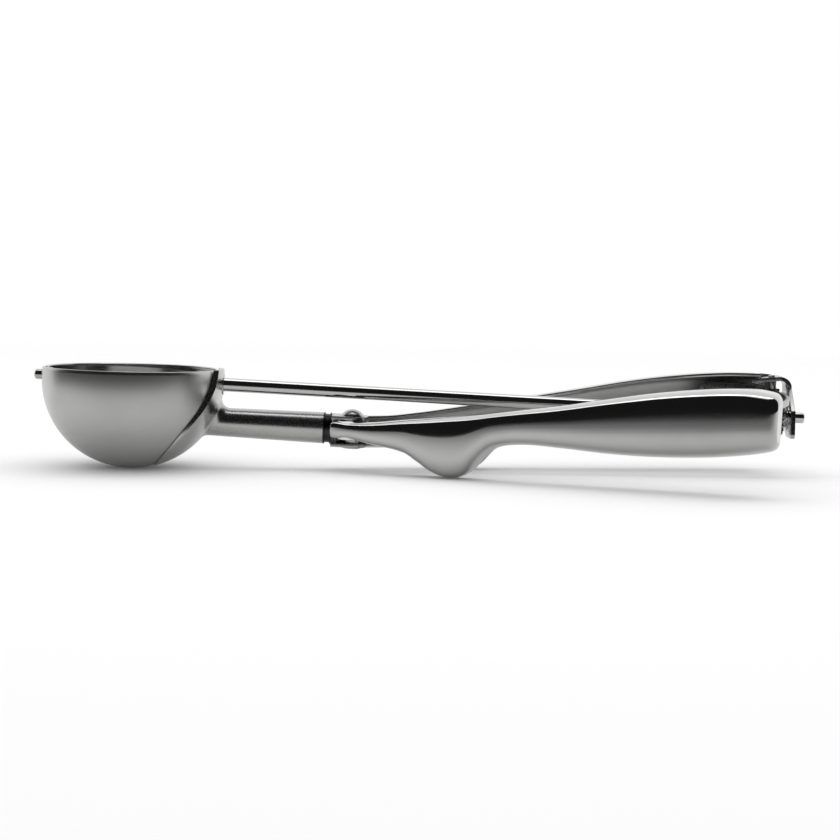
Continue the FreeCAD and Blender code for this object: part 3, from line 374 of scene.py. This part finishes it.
fixed_stations = [
    (4.6, -7.0, -16.3, open_edge, 7.6),
    (11.4, -6.5, -16.0, open_edge, 7.6),
    (19.0, -5.3, -16.2, open_edge, 7.6),
    (23.5, -4.5, -18.3, open_edge, 7.8),
    (28.0, -3.6, -20.8, open_edge, 8.4),
    (33.5, -2.5, -21.6, open_edge, 9.2),
    (38.5, -1.5, -19.6, open_edge, 9.8),
    (42.0, -0.8, -15.7, open_edge, 10.2),
    (46.0, 0.0, -12.1, open_edge, 10.5),
    (54.1, 1.6, -10.3, open_edge, 10.8),
    (66.2, 4.1, -10.2, open_edge, 11.2),
    (80.0, 7.1, -10.5, open_edge, 11.8),
    (93.8, 9.5, -10.1, open_edge, 12.6),
    (107.6, 11.1, -8.9, open_edge, 13.2),
    (118.1, 11.6, -7.3, open_edge, 13.3),
    (123.8, 11.4, -5.9, open_edge, 13.0),
    (127.0, 11.1, -4.6, open_edge, 12.4),
]


def slope(stations, j, k):
    """How fast value k changes at station j, from its neighbours."""
    a, b = max(0, j - 1), min(len(stations) - 1, j + 1)
    return (stations[b][k] - stations[a][k]) / (stations[b][0] - stations[a][0])


def on_curve(stations, along):
    """The outline's values at one place, on a smooth curve through the stations."""
    i = 0
    while i < len(stations) - 2 and stations[i + 1][0] < along:
        i += 1
    span = stations[i + 1][0] - stations[i][0]
    t = (along - stations[i][0]) / span
    values = []
    for k in range(1, 5):
        v0, v1 = stations[i][k], stations[i + 1][k]
        m0, m1 = slope(stations, i, k) * span, slope(stations, i + 1, k) * span
        values.append((2 * t**3 - 3 * t**2 + 1) * v0 + (t**3 - 2 * t**2 + t) * m0
                      + (3 * t**2 - 2 * t**3) * v1 + (t**3 - t**2) * m1)
    return values


# %% Press a handle
corner_power_above = 5.0
corner_power_below = 3.3
section_points = 57
row_step = 0.9
handle_sheet = 0.9
sheet_edge = 0.22
tail_corner = 2.0
nose_corner = 0.5
corner_rows = 8
end_wall_rings = (0.85, 0.6, 0.35, 0.12, 0.0)


def rows_of(stations, closed_nose):
    """Places along the handle, each with how far the section is drawn in and how much it is shrunk."""
    first, last = stations[0][0], stations[-1][0]
    rows = []
    if closed_nose:
        rows += [(first, nose_corner, shrink) for shrink in reversed(end_wall_rings)]
        for i in range(corner_rows):
            turn = math.pi / 2 * (1 - i / corner_rows)
            rows.append((first + nose_corner * (1 - math.sin(turn)), nose_corner * (1 - math.cos(turn)), 1.0))
        first += nose_corner
    count = round((last - tail_corner - first) / row_step)
    rows += [(first + (last - tail_corner - first) * i / count, 0.0, 1.0) for i in range(count + 1)]
    for i in range(1, corner_rows + 1):
        turn = math.pi / 2 * i / corner_rows
        rows.append((last - tail_corner * (1 - math.sin(turn)), tail_corner * (1 - math.cos(turn)), 1.0))
    rows += [(last, tail_corner, shrink) for shrink in end_wall_rings]
    return rows


def section_place(stations, row, share):
    """A point of the handle: along, depth and height."""
    along, drawn_in, shrink = row
    top, bottom, edge, outside = on_curve(stations, along)
    turn = math.pi * share
    power = corner_power_above if share < 0.5 else corner_power_below
    rise = math.copysign(abs(math.cos(turn)) ** (2 / power), math.cos(turn))
    reach = abs(math.sin(turn)) ** (2 / power)
    half = (top - bottom) / 2 - drawn_in
    depth = edge + (outside - drawn_in - edge) * reach * shrink
    return along, depth, (top + bottom) / 2 + half * rise * shrink


def pressed_handle(name, stations, closed_nose, side, splay_deg, finish):
    rows = rows_of(stations, closed_nose)
    bpy.ops.object.select_all(action="DESELECT")
    bpy.ops.mesh.primitive_grid_add(x_subdivisions=len(rows) - 1, y_subdivisions=section_points - 1, size=2)
    handle = named(name)
    for vertex in handle.data.vertices:
        row = rows[round((vertex.co.x + 1) / 2 * (len(rows) - 1))]
        along, depth, height = section_place(stations, row, (vertex.co.y + 1) / 2)
        vertex.co = (along, side * depth, height)
    bpy.ops.object.mode_set(mode="EDIT")
    bpy.ops.mesh.select_all(action="SELECT")
    bpy.ops.mesh.remove_doubles(threshold=close_to)
    if side < 0:
        bpy.ops.mesh.flip_normals()
    bpy.ops.object.mode_set(mode="OBJECT")
    handle.data.materials.append(finish)
    handle.data.materials.append(sheet_inside_painted_light)
    sheet_wall = handle.modifiers.new("sheet", "SOLIDIFY")
    sheet_wall.thickness = handle_sheet
    sheet_wall.offset = -1
    sheet_wall.material_offset = inside_slot
    handle.matrix_world = (Matrix.Translation((pivot_x, 0, 0))
                           @ Matrix.Rotation(math.radians(side * splay_deg), 4, "Z"))
    return handle


# %% Fixed handle with its notch
notch_start = 121.3
notch_depth = 5.9
notch_floor = 7.4
cutter_size = 10.0
fixed = pressed_handle("fixed_handle_dressed", fixed_stations, False, 1, fixed_splay_deg, fixed_finish)
bpy.ops.mesh.primitive_cube_add(size=1)
cutter = named("notch cutter")
half_cutter = cutter_size / 2
cutter_place = (notch_start + half_cutter, notch_depth - half_cutter, notch_floor + half_cutter)
cutter.matrix_world = (fixed.matrix_world @ Matrix.Translation(cutter_place)
                       @ Matrix.Scale(cutter_size, 4))
notch = fixed.modifiers.new("notch", "BOOLEAN")
notch.object = cutter
soften(fixed, sheet_edge, 3, 50)
seat(fixed, "frame", "handle_steel", None, "fixed_handle", smooth_deg=40)
bpy.data.objects.remove(cutter)

# %% [markdown]
# The lever's pressing ends in two lugs that lie between the fork's ears. Each is a plate with a round end
# about the pivot: a disc whose back half is drawn out until it runs into the shell.

# %% Lever handle with its lugs
lug_radius = 3.7
lug_reach = 4.6
lug_along = 1.2
lug_edge = 0.15
lever = pressed_handle("lever_handle_dressed", lever_stations, True, -1, lever_splay_deg, lever_finish)
soften(lever, sheet_edge, 3, 50)
apply_modifiers(lever)
for height in (lug_top - handle_sheet, lug_bottom):
    bpy.ops.object.select_all(action="DESELECT")
    bpy.ops.mesh.primitive_cylinder_add(vertices=64, radius=lug_radius, depth=handle_sheet)
    lug = named("lug")
    bpy.ops.object.mode_set(mode="EDIT")
    pick(lug, lambda v: v.y < -close_to)
    bpy.ops.transform.translate(value=(0, -lug_reach, 0))
    bpy.ops.object.mode_set(mode="OBJECT")
    soften(lug, lug_edge, 3, 50)
    apply_modifiers(lug)
    lug.matrix_world = lever.matrix_world @ Matrix.Translation((lug_along, 0, height + handle_sheet / 2))
    only(lever)
    lug.select_set(True)
    bpy.ops.object.join()
seat(lever, "lever", "handle_steel", None, "lever_handle", smooth_deg=40)

# %% [markdown]
# The spindle is bright drawn bar. It is a disc extruded from step to step, as it is turned on the lathe:
# full size up to the bracket, turned down to a thinner tail behind it, and rounded off at the free end.

# %% Spindle
spindle_start = 20.0
spindle_radius = 2.0
tail_radius = 1.6
spindle_steps = [
    (194.32, spindle_radius), (194.34, tail_radius), (197.0, tail_radius),
    (197.3, 1.5), (197.52, 1.25), (197.65, 0.85), (197.7, 0.3),
]
bpy.ops.object.select_all(action="DESELECT")
bpy.ops.mesh.primitive_circle_add(vertices=96, radius=spindle_radius, fill_type="NGON",
                                  location=(spindle_start, 0, 0), rotation=(0, math.pi / 2, 0))
spindle = named("spindle_dressed")
bpy.ops.object.transform_apply(location=True, rotation=True, scale=True)
bpy.ops.object.mode_set(mode="EDIT")
bpy.ops.mesh.select_all(action="SELECT")
reached, radius = spindle_start, spindle_radius
for place_x, next_radius in spindle_steps:
    bpy.ops.mesh.extrude_region_move(TRANSFORM_OT_translate={"value": (place_x - reached, 0, 0)})
    bpy.ops.transform.resize(value=(1, next_radius / radius, next_radius / radius),
                             center_override=(place_x, 0, 0))
    reached, radius = place_x, next_radius
bpy.ops.mesh.select_all(action="SELECT")
bpy.ops.mesh.normals_make_consistent(inside=False)
bpy.ops.object.mode_set(mode="OBJECT")
seat(spindle, "wiper", "polished_steel", polished, "spindle", smooth_deg=40)

# %% [markdown]
# The neck and its saddle are one casting. The frame has their true shape with its fillets, so a copy is
# merged and its edges are rounded as a tumbled casting's are. The wiper's hoop gets the same treatment
# with a finer edge.

# %% Neck, wiper and spring
seat(softened_copy("neck_casting", 0.3, 4, 25), "frame", "satin_steel", cast, "neck_casting")
seat(softened_copy("wiper_blade", 0.15, 2, 40), "wiper", "spring_steel", spring_temper, "wiper_blade")
seat(softened_copy("torsion_spring", 0.02, 1, 60), "frame", "spring_steel", spring_temper, "torsion_spring")

# %% [markdown]
# The studio. A white table and a white room light the scoop softly from above. Polished steel shows only
# what stands round it, so a tall black card stands round the front of the scoop, unseen by the camera,
# and gives the handles their black bands, while the white behind and above the scoop gives their bright
# upper edges. A grey card on the table in front darkens the lower halves. Only reflections see the cards.

# %% Table, room and cards
def seen_by_eye(tree):
    """1 for what the camera, a reflection or clear glass sees, and 0 for soft light."""
    rays = node(tree, "ShaderNodeLightPath")
    seen = node(tree, "ShaderNodeMath", {"operation": "MAXIMUM"},
                links={0: rays.outputs["Is Camera Ray"], 1: rays.outputs["Is Glossy Ray"]})
    return node(tree, "ShaderNodeMath", {"operation": "MAXIMUM"},
                links={0: seen.outputs["Value"], 1: rays.outputs["Is Transmission Ray"]}).outputs["Value"]


table_colour = "#ededed"
table_glow = 0.04
table_fade_from = 0.42
table_fade_to = 0.75
table_finish = bpy.data.materials.new("matt white table")
table_finish.use_nodes = True
tree = table_finish.node_tree
tree.nodes.clear()
glow = node(tree, "ShaderNodeMath", {"operation": "MULTIPLY"}, {1: table_glow}, {0: seen_by_eye(tree)})
matt = node(tree, "ShaderNodeBsdfDiffuse", values={"Color": linear(table_colour)})
light = node(tree, "ShaderNodeEmission", values={"Color": (1, 1, 1, 1)},
             links={"Strength": glow.outputs["Value"]})
both = node(tree, "ShaderNodeAddShader", links={0: matt.outputs["BSDF"], 1: light.outputs["Emission"]})
clear = node(tree, "ShaderNodeBsdfTransparent")
place = node(tree, "ShaderNodeTexCoord").outputs["Object"]
distance = node(tree, "ShaderNodeVectorMath", {"operation": "LENGTH"}, links={0: place}).outputs["Value"]
fade = node(tree, "ShaderNodeMapRange", {"interpolation_type": "SMOOTHSTEP"},
            {"From Min": table_fade_from, "From Max": table_fade_to}, {"Value": distance}).outputs["Result"]
faded = node(tree, "ShaderNodeMixShader",
             links={0: fade, 1: both.outputs["Shader"], 2: clear.outputs["BSDF"]})
node(tree, "ShaderNodeOutputMaterial", links={"Surface": faded.outputs["Shader"]})

bpy.ops.mesh.primitive_plane_add(size=3.0)
table = named("table")
table.data.materials.append(table_finish)

card_distance = 0.42
card_height = 2.6
card_black = 0.012
table_card_near = 0.2
table_card_far = 0.78
table_card_from = 0.02
table_card_fade = 0.26
front_card_ends = 0.12
table_card_size = (1.1, 0.6, 1)
table_card_place = (0, -0.25, 0.0004)


def only_in_reflections(card, finish):
    """A card that lights nothing, hides nothing and is seen in reflections alone."""
    card.data.materials.append(finish)
    card.visible_camera = False
    card.visible_diffuse = False
    card.visible_shadow = False
    card.visible_transmission = False


black = bpy.data.materials.new("black card")
black.use_nodes = True
black.node_tree.nodes.clear()
dark = node(black.node_tree, "ShaderNodeEmission", values={"Color": (card_black, card_black, card_black, 1)})
node(black.node_tree, "ShaderNodeOutputMaterial", links={"Surface": dark.outputs["Emission"]})
bpy.ops.mesh.primitive_cylinder_add(vertices=96, radius=card_distance, depth=card_height,
                                    end_fill_type="NOTHING", location=(0, 0, card_height / 2))
front_card = named("front_card")
bpy.ops.object.mode_set(mode="EDIT")
pick(front_card, lambda f: f.y > front_card_ends, "FACE")
bpy.ops.mesh.delete(type="FACE")
bpy.ops.object.mode_set(mode="OBJECT")
only_in_reflections(front_card, black)

grey = bpy.data.materials.new("grey card on the table")
grey.use_nodes = True
tree = grey.node_tree
tree.nodes.clear()
card_point = node(tree, "ShaderNodeTexCoord").outputs["Object"]
forward = node(tree, "ShaderNodeSeparateXYZ", links={"Vector": card_point})
cover = node(tree, "ShaderNodeMapRange", {"interpolation_type": "SMOOTHSTEP"},
             {"From Min": table_card_from, "From Max": -table_card_fade,
              "To Min": table_card_near, "To Max": table_card_far},
             {"Value": forward.outputs["Y"]}).outputs["Result"]
dark = node(tree, "ShaderNodeEmission", values={"Color": (card_black, card_black, card_black, 1)})
open_part = node(tree, "ShaderNodeBsdfTransparent")
laid = node(tree, "ShaderNodeMixShader",
            links={0: cover, 1: open_part.outputs["BSDF"], 2: dark.outputs["Emission"]})
node(tree, "ShaderNodeOutputMaterial", links={"Surface": laid.outputs["Shader"]})
bpy.ops.mesh.primitive_plane_add(size=1.0)
table_card = named("table_card")
bpy.ops.transform.resize(value=table_card_size)
bpy.ops.transform.translate(value=table_card_place)
bpy.ops.object.transform_apply(location=True, rotation=True, scale=True)
only_in_reflections(table_card, grey)

# %% Room light and lamps
world = bpy.data.worlds.new("white room")
bpy.context.scene.world = world
world.use_nodes = True
world.node_tree.nodes.clear()
room_level = 0.8
level = node(world.node_tree, "ShaderNodeMapRange", values={"To Min": room_level, "To Max": 1.0},
             links={"Value": seen_by_eye(world.node_tree)})
room = node(world.node_tree, "ShaderNodeBackground", values={"Color": (1, 1, 1, 1)},
            links={"Strength": level.outputs["Result"]})
node(world.node_tree, "ShaderNodeOutputWorld", links={"Surface": room.outputs["Background"]})



def lamp(name, place, width, depth, watts):
    """A soft lamp that hangs over the table and shines straight down."""
    bpy.ops.object.light_add(type="AREA", location=place)
    added = bpy.context.object
    added.name = name
    added.data.shape = "RECTANGLE"
    added.data.size = width
    added.data.size_y = depth
    added.data.energy = watts
    return added


over_the_scoop = (0.0, 0.12, 0.9)
lamp("strip lamp", over_the_scoop, 1.1, 0.22, 1.4)
ceiling = lamp("soft ceiling", over_the_scoop, 1.8, 1.5, 4.4)
ceiling.visible_glossy = False

# %% [markdown]
# The camera stands 600 mm in front of the spindle's plane, 70 mm over the table, and looks 5.3 degrees
# down with its right side tipped by 0.9 degrees. These came from the bowl, the rod and both handles in
# the photograph.

# %% Camera
camera_distance = 600.0
camera_height = 70.3
camera_right_of_bowl = 84.8
look_down_deg = 5.253
roll_deg = 0.9
focal_px = 2053.0
frame_px = 840.0
sensor_mm = 36.0
bpy.ops.object.camera_add(location=(bowl_centre.x + camera_right_of_bowl * MM,
                                   bowl_centre.y - camera_distance * MM, camera_height * MM))
camera = bpy.context.object
camera.data.sensor_width = sensor_mm
camera.data.lens = focal_px / frame_px * sensor_mm
camera.rotation_mode = "QUATERNION"
upright = Matrix.Rotation(math.radians(90 - look_down_deg), 4, "X")
camera.rotation_quaternion = (upright @ Matrix.Rotation(math.radians(roll_deg), 4, "Z")).to_quaternion()
bpy.context.scene.camera = camera
bpy.context.scene.view_settings.view_transform = "Standard"
